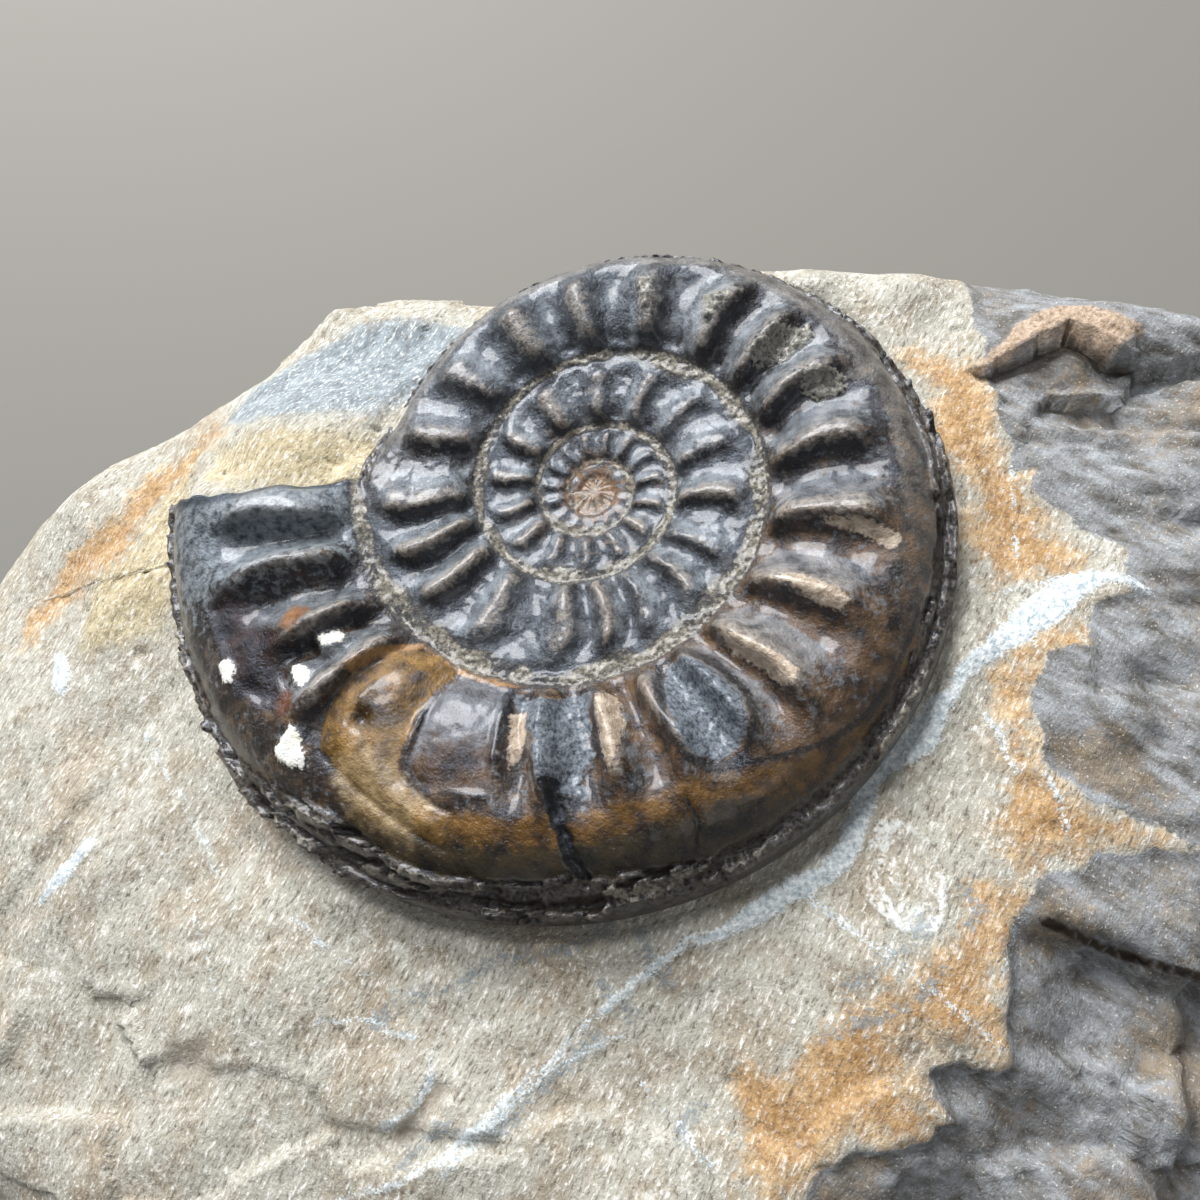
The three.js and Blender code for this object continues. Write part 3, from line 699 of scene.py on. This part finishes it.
def stoneTop(x, y, edgeDistance):  # its height, and its masks
    flat = flatPoints(x, y)
    height = -0.4 - 0.0012 * (0.6 * (x + 3) ** 2 + (y + 10) ** 2) + 0.35 * swell(x, y, 0)
    bank = bankAt(x, y)
    height += bank
    for lumpX, lumpY, size, rise in stone["lumps"]:
        height += rise * bump(np.hypot(x - lumpX, y - lumpY), size)

    # bared darker rock in low ledges and plates
    wobble = 0.5 * noiseAt(flat, 2, 21) + 0.25 * noiseAt(flat, 0.7, 22)
    pastEdge = insideOutline(x, y, stone["bared"]) + 0.9 * wobble
    bared = 0.35 * smooth(pastEdge, 0, 0.4) + 0.65 * smooth(pastEdge, 0.2, 4)
    warped = flat * [0.8, 1.3, 1] + 0.5 * noiseAt(flat, 3, 30)[:, None]
    blocks = platesAt(warped, 5.2, 11)
    chips = platesAt(warped, 1.6, 17)
    rock = -stone["skinThickness"] - 0.5 * hackle(x * 2, y * 2, 0) + 0.7 * blocks + 0.16 * chips
    for (lipX, lipY), (dirX, dirY), drop in stone["ledges"]:
        rock -= drop * smooth((x - lipX) * dirX + (y - lipY) * dirY + wobble, 0, 1.2)
    rock *= 1 - 0.85 * smooth(y, 4.5, 7.5)
    bedding = flatPoints(x * 0.79 - y * 0.62, (x * 0.62 + y * 0.79) * 3.2)
    height += bared * (rock + 0.15 * fractalAt(flat, 1.6, 5, 5) + 0.22 * fractalAt(bedding, 2.6, 5, 56))
    over = fromLine(x, y, stone["overhang"])
    above = y > np.interp(x, *np.array(stone["overhang"], float).T)
    raised = smooth(x, 20.6, 24) * (1 - smooth(x, 39, 45)) * (1 - smooth(y, 8.2, 10.5))
    height += 1.1 * above * raised
    height -= ~above * bump(over, 0.9) * smooth(x, 20, 21) * (1 - smooth(x, 27, 29))
    # painted shadow under the overhang's lip
    shadowUnderLip = 1.1 * bump(over, 0.45) * ~above * smooth(x, 20, 21)
    # weathered skin: low swells, faint slanting ridges and a fine gritty grain
    skin = 1 - smooth(pastEdge, 0, 0.6)
    height += skin * (0.28 * noiseAt(flat, 6.5, 31) + 0.12 * noiseAt(flat, 2.2, 32))
    slanted = flatPoints(x * 0.81 + y * 0.59, (y * 0.81 - x * 0.59) * 2.6)
    ridges = noiseAt(slanted, 7, 33)
    height += skin * 0.3 * smooth(-x, -6, 20) * ridges
    pits = noiseAt(flat, 1.1, 34)
    height -= skin * 0.22 * smooth(pits, 0.5, 0.7)
    steps = platesAt(flat * [1, 1.6, 1] + 0.9 * noiseAt(flat, 2.5, 35)[:, None], 7, 23)
    height += skin * 0.4 * steps * smooth(-y, 20, 32)
    height += 0.06 * fractalAt(flat, 0.7, 4, 36)

    # calcite veins, and the cracks
    ragX = 0.22 * noiseAt(flat, 0.8, 37) + 0.5 * noiseAt(flat, 3, 38)
    ragY = 0.22 * noiseAt(flat, 0.8, 39) + 0.5 * noiseAt(flat, 3, 40)
    vein = np.full(len(x), -3.0)
    line = stone["vein"]
    for (ax, ay, thickA), (bx, by, thickB) in zip(line, line[1:]):
        away, share = fromSegment(x + ragX, y + ragY, ax, ay, bx, by)
        vein = np.maximum(vein, thickA + (thickB - thickA) * share - away)
    vein += 0.12 * noiseAt(flat, 0.5, 42)
    strand = fromAny(x + ragX * 0.5, y + ragY * 0.5, stone["strands"])
    streak = fromAny(x + ragX, y + ragY, stone["darkStreaks"])
    thin = 0.13 + 0.12 * noiseAt(flat, 1.6, 43) - strand
    patches = insideAny(x + ragX * 0.4, y + ragY * 0.4, stone["calcitePatches"])
    calcite = np.max([vein, thin, patches], axis=0)
    height += 0.16 * smooth(calcite, -0.1, 0.2)
    split = fromLine(x, y, stone["darkSplit"])
    splitSide = (x - 19.6) * 0.36 + (y + 21.8) * 0.93
    height += 0.5 * np.where(splitSide > 0, 1, -1) * bump(split, 1.4) * smooth(x, 18.5, 20.5)
    height -= 0.4 * bump(split, 0.5) * smooth(x, 19.4, 21.5)
    crackLine = fromLine(x + 0.6 * ragX, y + 0.6 * ragY, stone["leftCrack"])
    crackSide = (x + 33.9) * 0.75 - (y + 18.8) * 0.66
    height += 0.35 * smooth(-crackSide, -0.5, 0.5) * bump(crackLine, 1.6)
    notch = insideOutline(x, y, stone["notch"])
    scar = insideOutline(x, y, stone["scar"])
    height -= 0.35 * smooth(notch + 0.6 * ragX, -0.2, 0.9) + 0.3 * smooth(scar, -0.1, 0.3)

    # a thin crevice under the keel, and bedding that meets the shell elsewhere
    angle = np.degrees(np.arctan2(y, x))
    back = np.mod(angle - shell["mouthAngle"], 360)
    front = bump(back - 95, 55)
    besideMouth = smooth(back, 2, 16)
    height -= besideMouth * (0.1 + 0.5 * front) * bump(edgeDistance - 0.2, 0.35)
    height += besideMouth * 0.35 * bump(edgeDistance - 1.1, 0.9)
    buried = (edgeDistance < -0.6) & ((bank < 0.01) | (np.hypot(x, y) < 12.6))
    height = np.where(buried, np.minimum(height, -1.2), height)
    swirlX, swirlY = stone["swirl"]["centre"]
    halfX, halfY = stone["swirl"]["halfSize"]
    ringed = np.hypot((x + ragX - swirlX) / halfX, (y + ragY - swirlY) / halfY)
    swirl = bump(ringed - 1, 0.13) + 0.8 * bump(ringed - 0.66, 0.1) + 0.7 * bump(ringed - 0.3, 0.1)
    swirl *= 0.75 + 0.8 * noiseAt(flat, 1.3, 58) + 0.3 * smooth(-y, 19.8, 21.5)
    height += 0.2 * swirl
    masks = {
        "bared": pastEdge,
        "calcite": calcite,
        "swirl": swirl,
        "baredBrown": smooth(pastEdge, 0.1, 0.6) * (0.3 + 1.3 * noiseAt(flat, 4.5, 57)),
        "darkStreak": 0.42 + 0.3 * noiseAt(flat, 1.4, 44) - streak,
        "cream": insideAny(x + ragX, y + ragY, stone["cream"]),
        "bluish": insideOutline(x + ragX, y + ragY, stone["bluish"]),
        "ochre": insideAny(x + 2 * ragX, y + 2 * ragY, stone["ochre"]),
        "tanLedge": insideOutline(x + ragX, y + ragY, stone["tanLedge"]),
        # painted shadow under the overhang's lip and along the left crack
        "shade": np.maximum(shadowUnderLip, 0.5 * bump(crackLine, 0.3)),
        "scar": np.maximum(notch, scar),
        # painted shadow: the split below the slab's edge drawn dark brown in place of a deep crack
        "split": split,
        "browner": noiseAt(flat, 5, 41),
    }
    return height, masks


def chip(points, roughness):  # in to each broken face that it would stand out of
    for direction, reach in stone["brokenFaces"]:
        facing = np.array(direction, float)
        facing /= np.linalg.norm(facing)
        beyond = (points - stone["middle"]) @ facing - reach + roughness
        points = points - np.clip(beyond, 0, None)[:, None] * facing
    return points


def makeStone():
    hidden = stone["hiddenRings"]
    top = stone["topRings"]
    sides = stone["sideRings"]
    rings = hidden + top + sides + 1
    deselectAll()
    around = stone["segments"]
    bpy.ops.mesh.primitive_grid_add(x_subdivisions=around, y_subdivisions=rings, size=1)
    piece = bpy.context.object
    piece.name = "matrix_rock"
    sheet = placesOf(piece)
    ring = np.rint((0.5 - sheet[:, 1]) * rings)
    angle = np.rint((sheet[:, 0] + 0.5) * around) % around * 2 * np.pi / around
    reach = outlineRadius(angle)
    # the inner end of the visible rings lies just inside the shell's edge
    bearings = np.arange(0, 360, 0.5)
    atMouth = (bearings >= shell["mouthAngle"]) & (bearings < shell["mouthAngle"] + 9)
    edge = np.where(atMouth, shell["seamRadius"], keelRadius(bearings))
    kernel = np.hanning(41) / np.hanning(41).sum()
    padded = np.concatenate([edge[-20:], edge, edge[:20]])
    eased = np.minimum(np.convolve(padded, kernel, "valid"), edge) - stone["underKeel"]
    inner = np.interp(np.degrees(angle), bearings, eased, period=360)
    share = np.clip((ring - hidden) / top, 0, 1)
    crowd = share + 0.12 * np.sin(np.pi * share)
    radius = np.where(ring <= hidden, inner * ring / hidden, inner + (reach - inner) * crowd)
    x = radius * np.cos(angle)
    y = radius * np.sin(angle)
    edgeDistance = radius - keelRadius(np.degrees(angle))
    height, masks = stoneTop(x, y, edgeDistance)
    outward = radius / reach
    rounding = 1 - np.sqrt(np.clip(1 - outward ** stone["edgeSharpness"], 0, 1))
    z = height * (1 - rounding) - stone["widestDepth"] * rounding

    # the sides, drawn in to the flat spot
    side = np.clip((ring - hidden - top) / sides, 0, 1)
    depths, shares = np.array(stone["sideShares"], float).T
    depth = np.interp(side, np.linspace(0, 1, len(depths)), depths)
    drawn = np.interp(depth, depths, shares)
    baseX, baseY = stone["baseCentre"]
    drawn = drawn + 0.02 * hackle(x, y, depth) * smooth(depth, 11, 16) * (depth < 29)
    below = ring > hidden + top
    x = np.where(below, baseX + (x - baseX) * drawn, x)
    y = np.where(below, baseY + (y - baseY) * drawn, y)
    z = np.where(below, -depth, z)
    points = np.column_stack([x, y, z])
    rim = smooth(outward, 0.8, 0.97) * np.where(below, 1 - smooth(depth, 27, 29.5), 1)
    rough = 0.5 * noiseAt(points, 6, 50) + 0.35 * noiseAt(points, 2.2, 51)
    points = chip(points, rough * rim)
    facets = platesAt(points * [1, 1, 1.4] + 0.8 * noiseAt(points, 4, 52)[:, None], 5.5, 53)
    broken = rim * (0.55 * facets + 0.25 * fractalAt(points, 2.5, 4, 54))
    outwardWay = points - np.array(stone["middle"])
    outwardWay /= np.linalg.norm(outwardWay, axis=1)[:, None]
    points = points + outwardWay * (broken - 0.25 * rim)[:, None]
    floor = -stone["shellAboveBase"]
    flatSpot = ring >= rings - 1
    points[:, 2] = np.where(flatSpot, floor, np.maximum(points[:, 2], floor + 0.25))
    atBottom = ring == rings
    points[atBottom] = [baseX, baseY, floor]
    placeVertices(piece, points)
    masks["underside"] = smooth(-points[:, 2], 6, 12)
    for name, values in masks.items():
        storeMask(piece, name, np.clip(values, -3, 3))
    mergeDoubles(0.002)
    turnOutwards()
    return piece


# materials

def newMaterial(name):
    material = bpy.data.materials.new(name)
    material.use_nodes = True
    tree = material.node_tree
    tree.nodes.clear()
    output = addNode(tree, "OutputMaterial")
    surface = addNode(tree, "BsdfPrincipled")
    tree.links.new(surface.outputs["BSDF"], output.inputs["Surface"])
    return material, tree, surface


def grains(tree, place, sizes):  # noise with grains of each size in mm
    found = {}
    for size in sizes:
        node = addNode(tree, "TexNoise", {
            "Vector": place, "Scale": 1 / (size * mm), "Detail": 5, "Roughness": 0.62})
        found[size] = node.outputs["Fac"]
    return found


def drawnOut(tree, place, degrees, stretch, size, detail, distortion):  # grains stretched one way
    turned = addNode(tree, "Mapping", {
        "Vector": place, "Rotation": (0, 0, math.radians(degrees)), "Scale": (stretch, 1, 1)},
        vector_type="TEXTURE")
    return addNode(tree, "TexNoise", {
        "Vector": turned.outputs["Vector"], "Scale": 1 / (size * mm), "Detail": detail,
        "Roughness": 0.7, "Distortion": distortion}).outputs["Fac"]


def mixColours(tree, share, first, second):
    return addNode(tree, "Mix", {0: share, 6: first, 7: second}, data_type="RGBA").outputs[2]


# Each layer lies on those before it: its mask, where the mask begins and is full, how far and by
# which grain its edge wanders (0, 0 for not at all), its dark and light colours, and then the grain
# that mottles them, its most and its own roughness.
def addLayers(tree, noises, colour, roughness, layers):
    for mask, begins, full, reach, grain, dark, light, more in layers:
        value = mask
        if isinstance(mask, str):
            value = addNode(tree, "Attribute", attribute_name=mask).outputs["Fac"]
        if reach:
            wander = addNode(tree, "MapRange", {
                "Value": noises[grain], "From Min": 0.3, "From Max": 0.7, "To Min": -reach,
                "To Max": reach}, clamp=False).outputs["Result"]
            value = addNode(tree, "Math", {0: value, 1: wander}).outputs["Value"]
        amount = addNode(tree, "MapRange", {
            "Value": value, "From Min": begins, "From Max": full, "To Max": more.get("most", 1)},
            interpolation_type="SMOOTHSTEP").outputs["Result"]
        mottle = addNode(tree, "MapRange", {
            "Value": noises[more.get("grain", 1.1)], "From Min": 0.36, "From Max": 0.64})
        colour = mixColours(tree, amount, colour, mixColours(
            tree, mottle.outputs["Result"], linear(dark), linear(light)))
        if "roughness" in more:
            roughness = addNode(tree, "Mix", {
                0: amount, 2: roughness, 3: more["roughness"]}).outputs[0]
    return colour, roughness


def connect(tree, surface, colour, roughness, bumps):  # a bump: its pattern, strength, depth in mm
    tree.links.new(colour, surface.inputs["Base Color"])
    tree.links.new(roughness, surface.inputs["Roughness"])
    below = {}
    for pattern, strength, depth in bumps:
        raised = {"Height": pattern, "Strength": strength, "Distance": depth * mm}
        below = {"Normal": addNode(tree, "Bump", {**raised, **below}).outputs["Normal"]}
    tree.links.new(below["Normal"], surface.inputs["Normal"])


def shellMaterial():
    # glossy calcite shell over dark infill: wet-looking browns; the silver on slopes facing the light is
    # partly painted sheen, and the slopes facing away carry painted shade
    material, tree, surface = newMaterial("polished_calcite_shell")
    place = addNode(tree, "TexCoord").outputs["Object"]
    noises = grains(tree, place, [0.12, 0.22, 0.5, 1.1, 3.5])
    along = addNode(tree, "Attribute", attribute_name="alongTurn").outputs["Fac"]
    across = addNode(tree, "Attribute", attribute_name="acrossTurn").outputs["Fac"]
    grown = addNode(tree, "CombineXYZ", {"X": along, "Y": across}).outputs["Vector"]
    lines = addNode(tree, "VectorMath", {0: grown, 1: (0.8, 9, 0)}, operation="MULTIPLY").outputs["Vector"]
    growth = addNode(tree, "TexNoise", {
        "Vector": lines, "Scale": 1, "Detail": 4, "Roughness": 0.6}).outputs["Fac"]
    base = mixColours(tree, noises[3.5], linear("#191512"), linear("#352d25"))
    colour, roughness = addLayers(tree, noises, base, 0.23, [
        (noises[1.1], 0.5, 0.64, 0, 0, "#43403c", "#6b6760", dict(most=0.5)),
        ("cool", 0.1, 0.9, 0.2, 1.1, "#26292c", "#5c6268", dict(most=0.7)),
        ("shoulder", 0.2, 0.9, 0.3, 1.1, "#4a4540", "#8d8a85", dict(most=0.75)),
        ("warm", 0.2, 1.0, 0.4, 1.1, "#2e2012", "#725739", dict(most=0.8)),
        # painted sheen on rib slopes facing the key light
        ("paintedSheen", 0.1, 0.9, 0.6, 0.5, "#54585c", "#a2aab1", dict(most=0.5)),
        # painted shade on rib slopes facing away from the key light and in the hollows
        ("dark", 0.1, 0.9, 0.3, 0.5, "#0b0806", "#2b2119", dict(most=0.8)),
        ("crest", 0.55, 1.05, 0.3, 0.5, "#665e56", "#b3a798", dict(grain=0.22, most=0.75, roughness=0.5)),
        ("mouth", 0.1, 0.8, 0.5, 0.5, "#39424a", "#a3adb4", dict(grain=0.5, most=0.6, roughness=0.4)),
        # painted shade at the broken mouth's edge
        ("mouthEdgeShade", 0.1, 0.9, 0.4, 0.5, "#14171a", "#333c45", dict(grain=0.5, most=0.85)),
        ("venter", -0.1, 0.3, 0.3, 0.5, "#33220b", "#785724", dict(roughness=0.24)),
        ("olive", 0.2, 0.8, 0.35, 0.5, "#17140c", "#3c3420", dict(most=0.9)),
        ("wine", -0.2, 0.7, 0.3, 0.5, "#150f0c", "#42322b", dict(roughness=0.2)),
        ("redGlow", 0, 0.4, 0, 0, "#3a200f", "#5e391e", dict(roughness=0.25)),
        ("chamber", -0.1, 0.15, 0.08, 0.5, "#4a4847", "#797b7f", dict(roughness=0.26)),
        ("chamberLow", 0.1, 0.9, 0.3, 0.5, "#2b1e13", "#5d4731", {}),
        ("amber", 0, 0.2, 0.12, 0.5, "#4a350d", "#926f35", dict(roughness=0.24)),
        ("amberDark", 0.35, 1.0, 0.4, 0.5, "#2c200b", "#57421a", dict(most=0.8)),
        ("paleBase", -0.7, 0.7, 0.4, 0.5, "#7d6541", "#b8a27a", dict(most=0.8)),
        ("amberSpot", 0, 0.25, 0.2, 0.22, "#5a3a1c", "#94673a", dict(roughness=0.25)),
        ("rim", 0, 0.2, 0.1, 0.5, "#7a5a34", "#b08a5c", {}),
        ("edging", 0.3, 0.9, 0.4, 0.22, "#12100e", "#26221e", dict(most=0.85)),
        ("slate", -0.03, 0.05, 0.12, 0.22, "#353a40", "#858c93", dict(grain=0.22, roughness=0.65)),
        ("gritTop", -0.05, 0.2, 0.3, 0.22, "#4b4943", "#a8a599", dict(grain=0.22, roughness=0.8)),
        ("pale", -0.05, 0.12, 0.14, 0.22, "#97846f", "#d2c2ae", dict(grain=0.5, roughness=0.5)),
        ("chalk", 0.08, 0.2, 0.15, 0.22, "#e9e5d2", "#ffffff", dict(roughness=0.6)),
        ("crack", -0.02, 0.04, 0, 0, "#0b0a09", "#2a2723", dict(grain=0.22, roughness=0.4)),
        ("flaky", 0.3, 0.7, 0, 0, "#15120e", "#665d51", dict(grain=0.22, roughness=0.3)),
        ("flake", 0.75, 1.05, 0.2, 0.22, "#5f574b", "#b5ad9c", dict(grain=0.22, most=0.6, roughness=0.5)),
        ("silt", 0.1, 0.4, 0.3, 0.22, "#211d17", "#4b4438", dict(grain=0.5, most=0.8, roughness=0.8)),
        ("silt", 0.45, 1.0, 0.4, 0.22, "#403c34", "#938d7f", dict(grain=0.22, roughness=0.9)),
        ("rust", 0.45, 1.0, 0.35, 0.5, "#4a3420", "#8f6c45", dict(grain=0.22, most=0.9, roughness=0.75)),
        (noises[0.22], 0.66, 0.74, 0, 0, "#a29c92", "#cfcac0", dict(most=0.5, roughness=0.7)),
    ])
    connect(tree, surface, colour, roughness, [
        (noises[0.5], 0.5, 0.24), (noises[0.12], 0.8, 0.07), (noises[0.22], 0.6, 0.12),
        (growth, 0.35, 0.12)])
    surface.inputs["IOR"].default_value = 1.6
    surface.inputs["Specular Tint"].default_value = linear("#c8d9f4")
    surface.inputs["Coat Weight"].default_value = 0.35
    surface.inputs["Coat Roughness"].default_value = 0.14
    return material


def stoneMaterial():
    # weathered silty limestone: matt, pale, gritty, with brown and ochre stains and calcite veins
    material, tree, surface = newMaterial("weathered_limestone")
    place = addNode(tree, "TexCoord").outputs["Object"]
    noises = grains(tree, place, [0.13, 0.25, 0.6, 1.1, 2.4, 7.0])
    strokes = drawnOut(tree, place, 61, 3.2, 0.19, 4, 0.3)
    noises["bedding"] = drawnOut(tree, place, -38, 2.4, 0.9, 7, 0)
    base = mixColours(tree, noises[7.0], linear("#a6a498"), linear("#bab7ac"))
    colour, roughness = addLayers(tree, noises, base, 0.9, [
        (noises[2.4], 0.45, 0.65, 0, 0, "#857864", "#a79985", dict(most=0.65)),
        (noises[1.1], 0.56, 0.7, 0, 0, "#c9c8bf", "#e6e5df", dict(most=0.6)),
        ("browner", 0.1, 0.6, 0.3, 1.1, "#8d7c66", "#a6957d", dict(most=0.6)),
        ("cream", -0.9, 0.9, 0.6, 1.1, "#a5956f", "#cdbf9a", dict(grain=0.6, most=0.8)),
        ("bluish", -0.7, 0.7, 0.5, 1.1, "#5f6f7b", "#8d9ca6", dict(most=0.9, roughness=0.6)),
        ("ochre", -0.6, 1.0, 0.9, 1.1, "#94703f", "#d3b58a", dict(most=0.8)),
        (strokes, 0.53, 0.68, 0, 0, "#e4e3dc", "#fbfaf7", dict(most=0.9)),
        (strokes, 0.47, 0.33, 0, 0, "#4f4436", "#72665a", dict(most=0.8)),
        ("ochre", -0.2, 1.4, 1.2, 0.6, "#8c5f2c", "#c99c60", dict(grain=0.25, most=0.5)),
        ("bared", -0.05, 0.12, 0.15, 0.25, "#575450", "#9da2a8", dict(grain="bedding", most=0.95)),
        ("baredBrown", 0.2, 1.0, 0.3, 0.6, "#6b5d49", "#93826a", dict(grain=0.6, most=0.7)),
        ("tanLedge", -0.2, 0.2, 0.15, 0.25, "#97816c", "#c9b39e", dict(grain=0.25)),
        (noises[0.13], 0.57, 0.7, 0, 0, "#e0ded7", "#fbfaf6", dict(most=0.55)),
        (noises[0.25], 0.42, 0.28, 0, 0, "#4c4439", "#6b6052", dict(most=0.5)),
        ("underside", 0.2, 0.9, 0.3, 2.4, "#857a69", "#a39782", dict(grain=2.4, most=0.8)),
        ("scar", -0.05, 0.3, 0.15, 0.25, "#8f8577", "#a69c8f", dict(most=0.6)),
        ("swirl", 0.3, 0.9, 0.4, 0.25, "#ced3d0", "#f2f4f2", dict(most=0.85)),
        ("darkStreak", 0.05, 0.4, 0.5, 0.25, "#565d62", "#8b969d", dict(grain=0.25, most=0.7)),
        ("calcite", -0.04, 0.1, 0.22, 0.13, "#9fb0ba", "#f2f7f9", dict(grain=0.25, most=0.9, roughness=0.5)),
        # painted shadow under the overhang and along the left crack
        ("shade", 0.35, 0.9, 0.15, 0.6, "#3b3833", "#57534c", dict(most=0.85)),
        # painted shadow in the split below the slab's edge
        ("split", 0.3, 0.12, 0, 0, "#2a221b", "#4a3a28", {}),
    ])
    connect(tree, surface, colour, roughness, [(noises[0.25], 0.6, 0.16), (strokes, 0.6, 0.18)])
    return material


# the floor, the light and the camera

studio = {
    "camera": (10.402, -19.855, 41.949),  # from the shell's axis
    "right": (0.97189, 0.00071, -0.23543),
    "up": (0.07055, 0.95317, 0.29410),
    "forward": (-0.22461, 0.30244, -0.92633),
    "lens": 25.5,
    "keyLight": {"way": (-0.25, 0.7, 0.67), "distance": 500, "size": 340, "power": 5.9},
    "topLight": {"way": (0.25, 0.1, 1.0), "distance": 700, "size": 300, "power": 0.8},
    "frontLight": {"way": (0.5, -0.8, 0.55), "distance": 600, "size": 300, "power": 0.3},
    "sky": 0.13,
}


def makeStudio():
    deselectAll()
    bpy.ops.mesh.primitive_plane_add(size=3.0, location=(0, 0, -0.0001))
    floor = bpy.context.object
    floor.name = "studio_floor"
    material, _, surface = newMaterial("pale_paper")
    surface.inputs["Base Color"].default_value = linear("#75736e")
    surface.inputs["Roughness"].default_value = 0.8
    floor.data.materials.append(material)
    aim = Vector(axisPlace * mm)
    for name in ("keyLight", "topLight", "frontLight"):
        light = studio[name]
        way = Vector(light["way"]).normalized()
        bpy.ops.object.light_add(type="AREA", location=aim + way * light["distance"] * mm)
        lamp = bpy.context.object
        lamp.name = name
        lamp.rotation_euler = way.to_track_quat("Z", "Y").to_euler()
        lamp.data.shape = "DISK"
        lamp.data.size = light["size"] * mm
        lamp.data.energy = light["power"]
    world = bpy.data.worlds.new("studio")
    world.use_nodes = True
    world.node_tree.nodes["Background"].inputs["Color"].default_value = linear("#f4f6f8")
    world.node_tree.nodes["Background"].inputs["Strength"].default_value = studio["sky"]
    bpy.context.scene.world = world
    bpy.context.scene.view_settings.view_transform = "Standard"
    place = axisPlace + studio["camera"]
    bpy.ops.object.camera_add()
    camera = bpy.context.object
    columns = [studio["right"], studio["up"], [-value for value in studio["forward"]]]
    turn = Matrix(columns).transposed().to_4x4()
    camera.matrix_world = Matrix.Translation(Vector(place * mm)) @ turn
    camera.data.sensor_width = 36
    camera.data.lens = studio["lens"]
    camera.data.clip_start = 0.001
    bpy.context.scene.camera = camera


makeStudio()
print("studio ready")
shellPiece = makeShell()
shellPiece.data.materials.append(shellMaterial())
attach(shellPiece, "root")
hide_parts("ammonite")
print("shell ready:", len(shellPiece.data.polygons), "faces")
stonePiece = makeStone()
stonePiece.data.materials.append(stoneMaterial())
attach(stonePiece, "root")
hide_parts("matrix_stone")
print("stone ready:", len(stonePiece.data.polygons), "faces")
